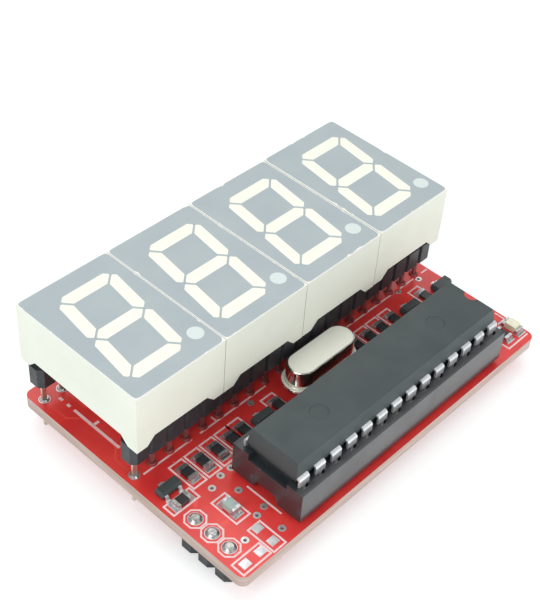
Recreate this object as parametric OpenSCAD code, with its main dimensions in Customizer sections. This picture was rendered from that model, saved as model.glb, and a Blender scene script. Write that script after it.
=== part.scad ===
// Seven segment display module: a red circuit board that carries a row of four plug-in digits on raised
// socket strips, a socketed narrow driver chip, a crystal, small surface parts and a pin header below.
// Origin at the middle of the board's plan, Z = 0 on the surface the module stands on, sizes in mm.
// X runs along the row of digits, Y from the chip's edge to the digits' rear edge.

/* [Circuit board] */
// Board left over beyond the row of digits
row_margin = 1.0; // [0.6:0.1:5]
// Board thickness
board_t = 1.6; // [0.8:0.1:2.4]
// Corner radius of the board
board_corner = 1.0; // [0.3:0.1:2]
// Diameter of the plated holes
hole_d = 0.95; // [0.95:0.05:1.1]
// Diameter of the tinned ring round each hole
ring_d = 1.7; // [1.4:0.1:2.0]
// Diameter of the smaller ring round the socket strips' holes
strip_ring_d = 1.35; // [1.25:0.05:1.7]
// Diameter of the via holes
via_d = 0.4; // [0.3:0.05:0.6]
// Thickness of the tinned copper
pad_t = 0.04; // [0.02:0.01:0.08]
// Height of the solder cones
solder_h = 0.7; // [0.4:0.1:1.0]

/* [Digits] */
// Gap between neighbouring digits
digit_space = 0.1; // [0.05:0.05:1]
// Width of one digit's shell
digit_w = 12.6; // [12.2:0.1:13]
// Length of one digit's shell
digit_l = 19.05; // [18.6:0.05:19.3]
// Height of one digit from its feet to its face
digit_h = 8.2; // [7:0.1:10]
// Gap between the socket strips and the feet
digit_gap = 0.05; // [0.05:0.05:1.5]
// Board left bare behind the digits
rear_margin = 0.4; // [0.1:0.1:2]
// Distance of the pin rows from the shell's front and rear faces
row_inset = 1.905; // [1.8:0.005:2.2]
// Distance of the outer pins from the shell's sides
side_inset = 1.22; // [1.1:0.01:1.4]
// Wall thickness of the shell
shell_wall = 0.9; // [0.7:0.1:1.2]
// Height of the feet below the raised lower edge
foot_h = 1.05; // [0.6:0.05:1.5]
// Length of each foot along the edges
foot_l = 1.45; // [1:0.05:2]
// Thickness of the grey film on the face
film_t = 0.12; // [0.08:0.01:0.2]

/* [Segments] */
// Face left beside the lit figure
glyph_side = 2.275; // [2.1:0.025:2.7]
// Face left in front of and behind the lit figure
glyph_end = 2.31; // [2.27:0.01:2.8]
// Thickness of the level bars
bar_t = 1.63; // [1.2:0.01:1.8]
// Width of the upright bars
post_t = 1.5; // [1.2:0.05:1.7]
// Gap between neighbouring bars
bar_gap = 0.27; // [0.15:0.01:0.4]
// Cut at the figure's outer corners
corner_cut = 1.2; // [0.8:0.05:1.6]
// Corner radius of each bar
bar_r = 0.16; // [0.08:0.01:0.22]
// Slant of the figure in degrees
slant = 7.6; // [0:0.1:9]
// Shift of the figure's middle from the shell's middle
glyph_shift = -0.13; // [-0.3:0.01:0.1]
// Diameter of the decimal point
point_d = 1.9; // [1.4:0.05:2.0]

/* [Digit inside] */
// Thickness of the circuit board that closes each digit
die_board_t = 0.8; // [0.6:0.1:1.2]
// Thickness of the potting below that board
potting_t = 0.8; // [0.5:0.05:1.2]
// Side of a light-emitting die
die_s = 0.36; // [0.2:0.02:0.5]
// Diameter of the display pins
pin_d = 0.5; // [0.4:0.02:0.56]

/* [Socket strips] */
// Height of the strips above the board
strip_lift = 3.25; // [2:0.05:4]
// Height of a strip
strip_h = 2.85; // [2.2:0.05:4]
// Width of a strip, also the pin pitch
pitch = 2.54; // [2.54:0.01:2.54]
// Strip left beyond the last pin at its moulded end
strip_end = 1.22; // [1.1:0.02:1.22]
// Strip left beyond the last pin at its cut end
strip_cut_end = 1.2; // [1.1:0.02:1.22]
// Corner cut at the strip's ends
strip_cut = 0.6; // [0.3:0.05:0.7]
// Depth of the notches between the strip's cells
notch_deep = 0.3; // [0.15:0.05:0.4]
// Thickness of the contact metal
metal_t = 0.2; // [0.15:0.01:0.22]
// Width of a contact
contact_w = 0.6; // [0.5:0.02:0.66]

/* [Chip socket] */
// Socket left beyond the last contacts' half pitch
socket_end = 0.02; // [0:0.01:0.5]
// Width of the socket
socket_w = 10.16; // [9.8:0.02:10.4]
// Height of the socket's lower face above the board
socket_lift = 0.6; // [0.3:0.1:1]
// Height of the socket
socket_h = 4.3; // [3.8:0.1:5]
// Width of each contact rail
rail_w = 2.6; // [2.4:0.05:2.8]
// Bare board between the socket and the board's front edge
front_margin = 0.63; // [0.3:0.01:1]
// Board for the small parts between the socket and the digits
parts_field = 5.06; // [4.8:0.02:8]
// Board for the header and parts left of the socket
left_field = 9.1; // [8.9:0.1:10]
// Board for the status light right of the socket
right_field = 7.1; // [6.9:0.1:9]
// Pins in each row
pins_per_row = 14; // [12:1:14]
// Distance of the contact rows from the socket's long faces
row_edge = 1.27; // [1.2:0.01:1.3]
// Length of the tails below the board
tail_l = 1.1; // [1.0:0.1:1.6]

/* [Driver chip] */
// Set-back of the chip's ends from the socket's ends
chip_inset = 0.55; // [0.3:0.05:0.9]
// Set-back of the chip's sides from its leads' inner faces
side_gap = 0.21; // [0.15:0.01:0.5]
// Height of the chip's body
chip_h = 3.0; // [2.6:0.1:3.6]
// Gap between the chip's body and the socket
chip_gap = 0.1; // [0.05:0.05:0.4]
// Slope of the body's faces, set back at top and bottom
chip_draft = 0.32; // [0.1:0.02:0.5]
// Thickness of the lead metal
lead_t = 0.25; // [0.2:0.01:0.3]
// Width of a lead's shoulder
shoulder_w = 1.5; // [1.2:0.05:1.7]
// Width of a lead's tip
tip_w = 0.5; // [0.4:0.02:0.6]
// Radius of the notch that marks the first pin's end
notch_r = 0.95; // [0.6:0.05:1.3]

/* [Crystal] */
// Length of the can's flange
flange_l = 11.05; // [10.6:0.05:11.4]
// Width of the can's flange
flange_w = 4.65; // [4.4:0.05:4.7]
// Set-back of the can from the flange
flange_step = 0.44; // [0.3:0.01:0.6]
// Height of the can above its flange
can_h = 2.6; // [2:0.1:3.4]
// Rounding of the can's top edge
can_r = 0.35; // [0.2:0.05:0.8]
// Clearance between the crystal's flange and the front strip
crystal_gap = 0.07; // [0.05:0.01:0.3]
// Height of the crystal's base above the board
crystal_lift = 1.05; // [0.3:0.05:1.2]
// Spacing of the crystal's leads
crystal_pitch = 4.88; // [4.4:0.02:5.08]

/* [Small parts] */
// Distance of the row of resistors from the digits' front face
part_row = 2.0; // [1.8:0.05:2.2]
// Distance of the status light from the socket's end
light_gap = 6.05; // [5.6:0.05:6.2]
// Spacing of the status light and its resistor
light_step = 2.0; // [1.8:0.05:2.2]
// Set-back of the status light from the socket's middle line
light_back = 2.85; // [2:0.05:3.2]
// Length of a chip resistor
res_l = 2.0; // [1.8:0.05:2.1]
// Width of a chip resistor
res_w = 1.25; // [1.1:0.05:1.35]
// Height of a chip resistor
res_h = 0.55; // [0.45:0.05:0.7]
// Length of the status light
light_l = 2.4; // [2.0:0.05:2.5]
// Width of the status light
light_w = 1.4; // [1.2:0.05:1.6]
// Height of the status light's base
light_h = 0.6; // [0.5:0.05:0.8]
// Height of its lens above the base
lens_h = 0.3; // [0.1:0.05:0.5]
// Height of the chip capacitor
cap_h = 0.9; // [0.6:0.05:1.2]
// Length of the metal ends
end_l = 0.4; // [0.25:0.05:0.55]
// Thickness of the metal ends
end_t = 0.05; // [0.03:0.01:0.08]
// Length of a transistor's body
tr_l = 2.9; // [2.8:0.05:3.0]
// Width of a transistor's body
tr_w = 1.3; // [1.2:0.05:1.4]
// Height of a transistor above the board
tr_h = 1.1; // [0.9:0.05:1.2]

/* [Places] */
// Spacing of neighbouring resistors
part_step = 2.3; // [2.1:0.05:2.35]
// First resistor from the board's left edge
res_x1 = 5.5; // [5.3:0.05:5.6]
// Resistor after the first group
res_x2 = 14.3; // [14.1:0.05:14.5]
// Resistor beside the crystal
res_x3 = 19.9; // [19.5:0.05:20.2]
// First resistor of the second group
res_x4 = 34.0; // [33.8:0.05:34.4]
// Last resistor
res_x5 = 47.1; // [46.5:0.05:47.4]
// First transistor
tr_x1 = 2.4; // [2.2:0.05:2.5]
// Second transistor
tr_x2 = 17.0; // [16.8:0.05:17.3]
// Third transistor
tr_x3 = 43.7; // [43.5:0.05:43.9]
// Fourth transistor
tr_x4 = 50.0; // [49.8:0.05:50.2]
// Distance of the transistors from the digits' front face
tr_row = 2.2; // [2.1:0.05:2.4]
// Lengthwise resistor and capacitor below the row
low_x1 = 2.4; // [2.2:0.05:2.6]
// Distance of the lengthwise resistor from the digits' front face
low_y1 = 4.27; // [4.2:0.01:4.5]
// Capacitor's distance from the board's left edge
low_x2 = 5.5; // [5.3:0.05:5.7]
// Capacitor's distance from the digits' front face
low_y2 = 8.5; // [8.2:0.05:8.8]
// Bare pads on the right
pad_x1 = 5.74; // [5.6:0.01:5.9]
// Bare pads on the left
pad_x2 = 3.85; // [3.7:0.01:3.9]
// Distance of the bare pads from the digits' front face
pad_row = 14.54; // [14.3:0.01:14.7]
// Spacing of a pair of bare pads
pad_step = 2.25; // [2.1:0.01:2.3]
// Header's distance from the board's left edge
header_left = 1.88; // [1.6:0.01:2]
// First header pin's distance from the digits' front face
header_row = 6.91; // [6.8:0.01:7.1]

/* [Pin header] */
// Height of the header's plastic below the board
header_h = 2.54; // [2:0.02:2.54]
// Side of a header pin
header_pin = 0.64; // [0.6:0.01:0.66]
// Corner cut between the header's cells
header_cut = 0.6; // [0.4:0.05:0.8]
// Height of the pins above the board
header_tip = 0.35; // [0.2:0.05:2]
// Height of the solder round the header's pins
header_solder = 0.25; // [0.1:0.05:0.8]

/* [Hidden] */
$fn = 32;
e = 0.01;
digits = 4;
// what the board, the socket and the chip take from what they carry
digit_pitch = digit_w + digit_space;
pins_in_row = 5;
pin_step = (digit_w - 2 * side_inset) / (pins_in_row - 1);
row_pitch = socket_w - 2 * row_edge;
socket_l = pins_per_row * pitch + 2 * socket_end;
chip_l = socket_l - 2 * chip_inset;
chip_w = row_pitch - 2 * side_gap;
board_l = max(digits * digit_pitch + row_margin, left_field + socket_l + right_field);
board_w = front_margin + socket_w + parts_field + digit_l + rear_margin;
glyph_w = digit_w - 2 * glyph_side;
glyph_h = digit_l - 2 * glyph_end;
// heights
zb = header_h + pad_t;
zt = zb + board_t;
z_strip = zt + strip_lift;
z_feet = z_strip + strip_h + digit_gap;
z_sock = zt + socket_lift;
z_rail = z_sock + socket_h;
z_chip = z_rail + chip_gap;
// plan: bx counts from the board's left edge, dy from the digits' front face
x_left = -board_l / 2;
y_front = -board_w / 2;
y_digit = board_w / 2 - rear_margin - digit_l;
function bx(x) = x_left + x;
function dy(y) = y_digit + y;
// each digit stands a little differently on its pins
digit_rise = [0, 0, 0.06, 0.18];
// pins of a digit, five in front and five behind
pin_rows = [row_inset, digit_l - row_inset];
strip_x = [for (d = [0 : digits - 1]) for (k = [0 : pins_in_row - 1])
    bx(d * digit_pitch + side_inset + k * pin_step)];
strip_y = [for (r = pin_rows) dy(r)];
strip_x0 = strip_x[0];
strip_x1 = strip_x[len(strip_x) - 1];
// shell inside
z_die_board = foot_h + 0.15 + potting_t;
z_well = z_die_board + die_board_t;
// contacts
well_x = contact_w + 0.2;
well_y = pin_d + 2 * metal_t + 0.3;
contact_floor = 0.25;
pin_bottom = z_strip + 0.1 + contact_floor + 0.15;
// chip
chip_y = y_front + front_margin + socket_w / 2;
chip_cx = bx(left_field + socket_l / 2);
chip_end = chip_cx + socket_l / 2;
lead_y = row_pitch / 2 + lead_t / 2;
lead_x = [for (k = [0 : pins_per_row - 1]) chip_cx + (k - (pins_per_row - 1) / 2) * pitch];
lead_z = chip_h * 0.36;
lead_tip_z = z_sock + 1.2;
// crystal
crystal_spot = [chip_cx, strip_y[0] - pitch / 2 - crystal_gap - flange_w / 2];
crystal_holes = [for (s = [-1, 1]) [crystal_spot.x + s * crystal_pitch / 2, crystal_spot.y]];
// surface parts: places from the board's left edge and the digits' front face
res_x = concat([for (k = [0 : 3]) res_x1 + k * part_step], [res_x2, res_x3],
    [for (k = [0 : 3]) res_x4 + k * part_step], [res_x5]);
res_spots = [for (x = res_x) [bx(x), dy(-part_row), 90]];
led_spot = [chip_end + light_gap, chip_y - light_back, 90];
res_extra = [[bx(low_x1), dy(-low_y1), 0], [led_spot.x - light_step, led_spot.y, 90]];
all_res = concat(res_spots, res_extra);
cap_spot = [bx(low_x2), dy(-low_y2), 90];
tr_spots = [for (x = [tr_x1, tr_x2, tr_x3, tr_x4]) [bx(x), dy(-tr_row), 0]];
bare_pads = [[bx(pad_x1), dy(pad_step - pad_row)], [bx(pad_x1), dy(-pad_row)],
    [bx(pad_x2), dy(-pad_row)], [bx(pad_x2 - pad_step), dy(-pad_row)]];
vias = [[7.9, -4.6], [6.0, -5.2], [7.9, -7.35], [9.47, -4.6], [8.3, -10.8], [6.9, -11.1], [7.6, -14.1],
    [3.7, -12.46], [17.9, 0.6], [49.2, 0.8], [45.4, 1.07]];
// header
header_x = bx(header_left);
header_y = [for (k = [0 : 2]) dy(-header_row) - k * pitch];

// Small helpers
module block(x0, x1, y0, y1, z0, z1) { translate([x0, y0, z0]) cube([x1 - x0, y1 - y0, z1 - z0]); }
module post(x, y, z0, z1, d) { translate([x, y, z0]) cylinder(d = d, h = z1 - z0); }
module bar_at(x, y, w, l, z0, z1) { block(x - w / 2, x + w / 2, y - l / 2, y + l / 2, z0, z1); }
// a profile drawn in Y and Z, run along X
module along_x(x0, x1) { translate([x0, 0, 0]) rotate([90, 0, 90]) linear_extrude(x1 - x0) children(); }
// a profile drawn in X and Z, run along Y
module along_y(y0, y1) { translate([0, y1, 0]) rotate([90, 0, 0]) linear_extrude(y1 - y0) children(); }
module at(spot) { translate([spot.x, spot.y, 0]) rotate(spot[2]) children(); }

// corner b of a-b-c as an arc of radius r in n steps
function arc_corner(a, b, c, r, n) =
    let (u = (a - b) / norm(a - b), v = (c - b) / norm(c - b), h = acos(u * v) / 2,
        o = b + (u + v) / norm(u + v) * r / sin(h),
        p = b + u * r / tan(h) - o, q = b + v * r / tan(h) - o,
        a0 = atan2(p.y, p.x), d = (atan2(q.y, q.x) - a0 + 540) % 360 - 180)
    [for (k = [0 : n]) o + r * [cos(a0 + d * k / n), sin(a0 + d * k / n)]];
function rounded(p, r, n = 2) = [for (i = [0 : len(p) - 1])
    each arc_corner(p[(i + len(p) - 1) % len(p)], p[i], p[(i + 1) % len(p)], r, n)];

// Circuit board
strip_holes = [for (x = strip_x) for (y = strip_y) [x, y]];
other_holes = concat([for (x = lead_x) for (s = [-1, 1]) [x, chip_y + s * lead_y]],
    crystal_holes,
    [for (y = header_y) [header_x, y]]);
tail_holes = concat(strip_holes, other_holes);

module board_outline() {
    r = board_corner;
    square([board_l - 2 * r, board_w], center = true);
    square([board_l, board_w - 2 * r], center = true);
    for (sx = [-1, 1]) for (sy = [-1, 1])
        translate([sx * (board_l / 2 - r), sy * (board_w / 2 - r)]) circle(r);
}
module circuit_board() {
    color("#C8323A") translate([0, 0, zb]) linear_extrude(board_t) difference() {
        board_outline();
        for (h = tail_holes) translate(h) circle(d = hole_d);
        for (v = vias) translate([bx(v.x), dy(v.y)]) circle(d = via_d, $fn = 16);
    }
}

module ring_at(spot, outer, inner, sides = 32) {
    translate(spot) difference() {
        circle(d = outer, $fn = sides);
        circle(d = inner, $fn = sides);
    }
}
module smd_pads(spot, l, w) {
    at(spot) for (s = [-1, 1]) bar_at(s * l / 2, 0, end_l + 0.5, w + 0.1, zt, zt + pad_t);
}
module tinned_pads() {
    color("#D9DDE0") {
        for (z = [zb - pad_t, zt]) translate([0, 0, z]) linear_extrude(pad_t) {
            for (h = strip_holes) ring_at(h, strip_ring_d, hole_d);
            for (h = other_holes) ring_at(h, ring_d, hole_d);
        }
        for (s = all_res) smd_pads(s, res_l, res_w);
        smd_pads(cap_spot, res_l, res_w);
        smd_pads(led_spot, light_l, light_w);
        for (s = tr_spots) at(s) for (p = tr_feet) bar_at(p.x, p.y, 0.6, 0.7, zt, zt + pad_t);
        for (p = bare_pads) bar_at(p.x, p.y, 1.15, 1.0, zt, zt + pad_t);
        translate([0, 0, zt]) linear_extrude(pad_t) for (v = vias)
            ring_at([bx(v.x), dy(v.y)], via_d + 0.5, via_d, 16);
    }
}

// one joint: a cone below, the filled hole and a low fillet above, round a tail of w by l
module joint(x, y, w, l, top, ring) {
    difference() {
        union() {
            post(x, y, zb - pad_t, zt + pad_t, hole_d);
            translate([x, y, zb - pad_t - solder_h])
                cylinder(d1 = hole_d * 0.95, d2 = ring * 0.94, h = solder_h);
            translate([x, y, zt + pad_t]) cylinder(d1 = ring * 0.9, d2 = hole_d * 0.95, h = top);
        }
        bar_at(x, y, w, l, zb - 2, zt + 3);
    }
}
module solder_joints() {
    color("#BFC5C8") {
        for (x = strip_x) for (y = strip_y) joint(x, y, contact_w, metal_t * 1.5, 0.25, strip_ring_d);
        for (x = lead_x) for (s = [-1, 1])
            joint(x, chip_y + s * lead_y, tip_w, metal_t * 1.5, 0.25, ring_d);
        for (y = header_y) difference() {
            union() {
                post(header_x, y, zb, zt + pad_t, hole_d);
                translate([header_x, y, zt + pad_t])
                    cylinder(d1 = ring_d * 0.94, d2 = hole_d, h = header_solder);
            }
            bar_at(header_x, y, header_pin, header_pin, zb - 1, zt + 3);
        }
        for (p = crystal_holes) translate([p.x, p.y, 0]) difference() {
            union() {
                post(0, 0, zb - pad_t, zt + pad_t, hole_d);
                translate([0, 0, zb - pad_t - solder_h])
                    cylinder(d1 = hole_d * 0.8, d2 = ring_d * 0.94, h = solder_h);
                translate([0, 0, zt + pad_t]) cylinder(d1 = ring_d * 0.9, d2 = hole_d * 0.8, h = 0.3);
            }
            post(0, 0, zb - 2, zt + 3, crystal_lead_d);
        }
    }
}

// Digits
gw = glyph_w / 2;
gh = glyph_h / 2;
ix = gw - post_t;
iy = gh - bar_t;
mitre = bar_gap / sqrt(2);
tip_x = gw - 0.58;
tip_y = bar_gap * 0.6;
edge = gw + gh - corner_cut;
function meet(s) = [(-ix + iy + s - edge) / 2, (-ix + iy + s + edge) / 2];
top_bar = [[-ix + mitre, iy], meet(mitre), [-gw + corner_cut, gh],
    [gw - corner_cut, gh], [-meet(mitre).x, meet(mitre).y], [ix - mitre, iy]];
left_post = [[-gw, gh - corner_cut], meet(-mitre), [-ix, iy - mitre],
    [-ix, tip_y + tip_x - ix], [-tip_x, tip_y], [-gw, tip_y + gw - tip_x]];
mid_tip = tip_x + tip_y - bar_gap * sqrt(2);
mid_bar = [[-mid_tip, 0], [-mid_tip + bar_t / 2, bar_t / 2], [mid_tip - bar_t / 2, bar_t / 2],
    [mid_tip, 0], [mid_tip - bar_t / 2, -bar_t / 2], [-mid_tip + bar_t / 2, -bar_t / 2]];
function flip(p, sx, sy) = [for (v = p) [v.x * sx, v.y * sy]];
bars = [top_bar, flip(left_post, -1, 1), flip(left_post, -1, -1), flip(top_bar, 1, -1),
    flip(left_post, 1, -1), left_post, mid_bar];
function lean(p) = [for (v = p) [v.x + v.y * tan(slant), v.y]];
bar_mid = [[0, gh - bar_t / 2], [gw - post_t / 2, gh / 2], [gw - post_t / 2, -gh / 2], [0, -gh + bar_t / 2],
    [-gw + post_t / 2, -gh / 2], [-gw + post_t / 2, gh / 2], [0, 0]];
glyph_at = [digit_w / 2 + glyph_shift, digit_l / 2 - 0.19];
point_at = [glyph_at.x + gw + 0.78, glyph_at.y - gh + point_d / 2 - 0.15];
light_spots = concat([for (m = lean(bar_mid)) glyph_at + m], [point_at]);

module bar_shape(k) { translate(glyph_at) polygon(lean(rounded(bars[k], bar_r))); }
module light_shapes() {
    for (k = [0 : len(bars) - 1]) bar_shape(k);
    translate(point_at) circle(d = point_d);
}
module in_digit(n) {
    translate([bx((n - 1) * digit_pitch), y_digit, z_feet + digit_rise[n - 1]]) children();
}
module foot_gap(l) {
    polygon([[foot_l, -e], [foot_l + foot_h, foot_h], [l - foot_l - foot_h, foot_h], [l - foot_l, -e]]);
}
module display_housing(n) {
    color("#F2F2EC") in_digit(n) difference() {
        block(0, digit_w, 0, digit_l, 0, digit_h - film_t);
        block(shell_wall, digit_w - shell_wall, shell_wall, digit_l - shell_wall, -e, z_well);
        along_y(-e, digit_l + e) foot_gap(digit_w);
        along_x(-e, digit_w + e) foot_gap(digit_l);
        translate([0, 0, z_well - e]) linear_extrude(digit_h) light_shapes();
    }
}
module display_face(n) {
    color("#B7C5CB") in_digit(n) translate([0, 0, digit_h - film_t]) linear_extrude(film_t) difference() {
        square([digit_w, digit_l]);
        light_shapes();
    }
}
module display_resin(n) {
    color("#FFFDF5") in_digit(n) {
        difference() {
            translate([0, 0, z_well]) linear_extrude(digit_h - z_well) light_shapes();
            for (s = light_spots) bar_at(s.x, s.y, die_s, die_s, z_well - e, z_well + die_s / 2);
        }
        difference() {
            block(shell_wall, digit_w - shell_wall, shell_wall, digit_l - shell_wall,
                z_die_board - potting_t, z_die_board);
            digit_pin_posts(-e, z_die_board + e);
        }
    }
}
module digit_pin_posts(z0, z1) {
    for (k = [0 : pins_in_row - 1]) for (y = pin_rows)
        post(side_inset + k * pin_step, y, z0, z1, pin_d);
}
module display_die_board(n) {
    color("#C9B98A") in_digit(n) difference() {
        block(shell_wall, digit_w - shell_wall, shell_wall, digit_l - shell_wall, z_die_board, z_well);
        digit_pin_posts(0, z_well + e);
    }
}
module display_dies(n) {
    color("#E8E4C8") in_digit(n) for (s = light_spots)
        bar_at(s.x, s.y, die_s, die_s, z_well, z_well + die_s / 2);
}
module display_pins(n) {
    color("#D9DDE0") in_digit(n) digit_pin_posts(pin_bottom - z_feet, z_well);
}

// Socket strips
// one cell of a strip from a to b, with its corners cut by ca and cb
module strip_cell(a, b, ca, cb) {
    h = pitch / 2;
    polygon([[a, -h + ca], [a + ca, -h], [b - cb, -h], [b, -h + cb],
        [b, h - cb], [b - cb, h], [a + ca, h], [a, h - ca]]);
}
module strip_body(y, x0, x1) {
    last = len(strip_x) - 1;
    color("#2D2D32") translate([0, y, z_strip]) difference() {
        linear_extrude(strip_h) for (k = [0 : last]) strip_cell(
            k == 0 ? x0 : (strip_x[k - 1] + strip_x[k]) / 2,
            k == last ? x1 : (strip_x[k] + strip_x[k + 1]) / 2,
            k == 0 ? strip_cut : notch_deep, k == last ? strip_cut : notch_deep);
        for (x = strip_x) bar_at(x, 0, well_x, well_y, -e, strip_h + e);
    }
}
// the strips are cut from longer ones, the front one on the left and the rear one on the right
module front_strip() { strip_body(strip_y[0], strip_x0 - strip_cut_end, strip_x1 + strip_end); }
module rear_strip() { strip_body(strip_y[1], strip_x0 - strip_end, strip_x1 + strip_cut_end); }
// a folded contact: floor, two leaves that hold the pin, and a tail through the board
module contact(x, y, grip, z0, leaf_h, tail_to, w, tail_w) {
    bar_at(x, y, w, grip + 2 * metal_t + 0.3, z0, z0 + contact_floor);
    for (s = [-1, 1]) bar_at(x, y + s * (grip + metal_t) / 2, w, metal_t, z0, z0 + leaf_h);
    bar_at(x, y, tail_w, metal_t * 1.5, tail_to, z0 + e);
}
module strip_contacts(y) {
    color("#D9DDE0") for (x = strip_x)
        contact(x, y, pin_d, z_strip + 0.1, strip_h - 0.5, 0, contact_w, contact_w);
}

// Chip socket and chip
module chip_socket_body() {
    hl = socket_l / 2;
    hw = socket_w / 2;
    color("#3A3A40") translate([chip_cx, chip_y, 0]) difference() {
        block(-hl, hl, -hw, hw, z_sock, z_rail);
        // well between the rails, with two cross bars left in
        for (k = [-1, 0, 1]) bar_at(k * (socket_l / 3 - 0.4), 0, socket_l / 3 - 1.9, socket_w - 2 * rail_w,
            z_sock - e, z_rail + e);
        // the end walls stop below the rails
        for (s = [-1, 1]) bar_at(s * hl, 0, 2.2, socket_w - 2 * rail_w + 0.6, z_rail - 0.8, z_rail + e);
        // arches under the end walls
        for (s = [-1, 1]) translate([s * hl, 0, z_sock]) along_x(-1.4, 1.4) intersection() {
            circle(1.7);
            translate([-1.7, -e]) square([3.4, 1.05]);
        }
        // contact openings and the stand-off grooves below each rail
        for (x = lead_x) for (s = [-1, 1])
            bar_at(x - chip_cx, s * lead_y, 1.0, lead_t + 2 * metal_t + 0.3, z_sock - e, z_rail + e);
        for (s = [-1, 1]) bar_at(0, s * (hw - rail_w / 2), socket_l - 4, 1.5, z_sock - e, z_sock + 0.35);
    }
}
module chip_socket_contacts() {
    color("#D8D2B4") for (x = lead_x) for (s = [-1, 1])
        contact(x, chip_y + s * lead_y, lead_t, z_sock + 0.35, socket_h - 0.9, zb - tail_l, 0.8, tip_w);
}
module chip_body() {
    flat = lead_t / 2;
    hw = chip_w / 2;
    hl = chip_l / 2;
    d = chip_draft;
    z0 = z_chip;
    z1 = z_chip + chip_h;
    zm = z_chip + lead_z;
    color("#55606A") translate([chip_cx, chip_y, 0]) difference() {
        intersection() {
            along_x(-hl, hl) polygon([[-hw + d, z0], [hw - d, z0], [hw, zm - flat], [hw, zm + flat],
                [hw - d, z1], [-hw + d, z1], [-hw, zm + flat], [-hw, zm - flat]]);
            along_y(-hw, hw) polygon([[-hl + d, z0], [hl - d, z0], [hl, zm - flat], [hl, zm + flat],
                [hl - d, z1], [-hl + d, z1], [-hl, zm + flat], [-hl, zm - flat]]);
        }
        post(hl - 0.1, 0, z1 - 0.9, z1 + e, 2 * notch_r);
        for (s = [-1, 1]) post(s * 10.06, 0, z1 - 0.08, z1 + e, 2.2);
    }
}
// a lead seen from the end: a stub from the body, an outer bend and a drop into the socket
module lead_profile(down_to) {
    r = 0.4;
    zc = z_chip + lead_z;
    outer = lead_y + lead_t / 2;
    difference() {
        union() {
            translate([chip_w / 2, zc - lead_t / 2]) square([outer - r - chip_w / 2 + e, lead_t]);
            translate([lead_y - lead_t / 2, down_to]) square([lead_t, zc + lead_t / 2 - r - down_to + e]);
            translate([outer - r, zc + lead_t / 2 - r]) intersection() { circle(r); square(r + e); }
        }
        translate([outer - r, zc + lead_t / 2 - r]) circle(r - lead_t);
    }
}
module chip_leads() {
    color("#DDE1E4") for (x = lead_x) for (s = [0, 1]) translate([x, chip_y, 0]) mirror([0, s, 0]) {
        along_x(-shoulder_w / 2, shoulder_w / 2) lead_profile(z_rail + chip_gap / 2);
        bar_at(0, lead_y, tip_w, lead_t, lead_tip_z, z_rail + chip_gap);
    }
}

// Crystal
crystal_lead_d = 0.43;
base_t = 0.45;
flange_t = 0.35;
z_flange = zt + crystal_lift + base_t;
// outline with half-round ends, spun and run as one profile of the can's side
module long_round(l, w) {
    for (s = [0, 1]) mirror([s, 0, 0]) translate([(l - w) / 2, 0, 0])
        rotate([0, 0, -90]) rotate_extrude(angle = 180) children();
    along_x(-(l - w) / 2, (l - w) / 2) { children(); mirror([1, 0]) children(); }
}
module can_side() {
    fw = flange_w / 2;
    cw = fw - flange_step;
    square([fw, flange_t]);
    square([cw, flange_t + can_h - can_r]);
    square([cw - can_r, flange_t + can_h]);
    translate([cw - can_r, flange_t + can_h - can_r]) intersection() { circle(can_r); square(can_r + e); }
}
module crystal_can() {
    color("#D8D8CC") translate([crystal_spot.x, crystal_spot.y, z_flange])
        long_round(flange_l, flange_w) can_side();
}
module crystal_base() {
    color("#6E6A5A") translate([crystal_spot.x, crystal_spot.y, zt + crystal_lift]) difference() {
        long_round(flange_l - 0.7, flange_w - 0.7) square([(flange_w - 0.7) / 2, base_t]);
        for (s = [-1, 1]) post(s * crystal_pitch / 2, 0, -e, base_t + e, crystal_lead_d);
    }
}
module crystal_leads() {
    color("#D9DDE0") for (p = crystal_holes) post(p.x, p.y, zb - tail_l, z_flange, crystal_lead_d);
}

// Surface parts
module chip_part(l, w, h) {
    bar_at(0, 0, l - 2 * end_t, w - 2 * end_t, zt + pad_t + end_t, zt + pad_t + h - end_t);
}
module chip_ends(l, w, h) {
    difference() {
        for (s = [-1, 1]) bar_at(s * (l - end_l) / 2, 0, end_l, w, zt + pad_t, zt + pad_t + h);
        chip_part(l, w, h);
    }
}
module resistor_bodies() { color("#202326") for (s = all_res) at(s) chip_part(res_l, res_w, res_h); }
module resistor_ends() { color("#DDE1E4") for (s = all_res) at(s) chip_ends(res_l, res_w, res_h); }
module capacitor_body() { color("#A9B79A") at(cap_spot) chip_part(res_l, res_w, cap_h); }
module capacitor_ends() { color("#DDE1E4") at(cap_spot) chip_ends(res_l, res_w, cap_h); }
module status_light_body() {
    color("#E9E6B4") at(led_spot) {
        chip_part(light_l, light_w, light_h);
        bar_at(0, 0, light_l - 2 * end_l - 0.1, light_w - 0.1,
            zt + pad_t + light_h - end_t, zt + pad_t + light_h + lens_h);
    }
}
module status_light_ends() { color("#F4F4F0") at(led_spot) chip_ends(light_l, light_w, light_h); }

tr_feet = [[-0.95, -1.05], [0.95, -1.05], [0, 1.05]];
tr_foot_t = 0.12;
module transistor_bodies() {
    z0 = zt + pad_t + 0.06;
    z1 = zt + tr_h;
    zm = z0 + (z1 - z0) * 0.45;
    color("#25282B") for (s = tr_spots) at(s) intersection() {
        along_x(-tr_l / 2, tr_l / 2) polygon([[-tr_w / 2 + 0.12, z0], [tr_w / 2 - 0.12, z0],
            [tr_w / 2, zm - tr_foot_t / 2], [tr_w / 2, zm + tr_foot_t / 2],
            [tr_w / 2 - 0.15, z1], [-tr_w / 2 + 0.15, z1],
            [-tr_w / 2, zm + tr_foot_t / 2], [-tr_w / 2, zm - tr_foot_t / 2]]);
        along_y(-tr_w / 2, tr_w / 2) polygon([[-tr_l / 2 + 0.12, z0], [tr_l / 2 - 0.12, z0], [tr_l / 2, zm],
            [tr_l / 2 - 0.15, z1], [-tr_l / 2 + 0.15, z1], [-tr_l / 2, zm]]);
    }
}
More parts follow.
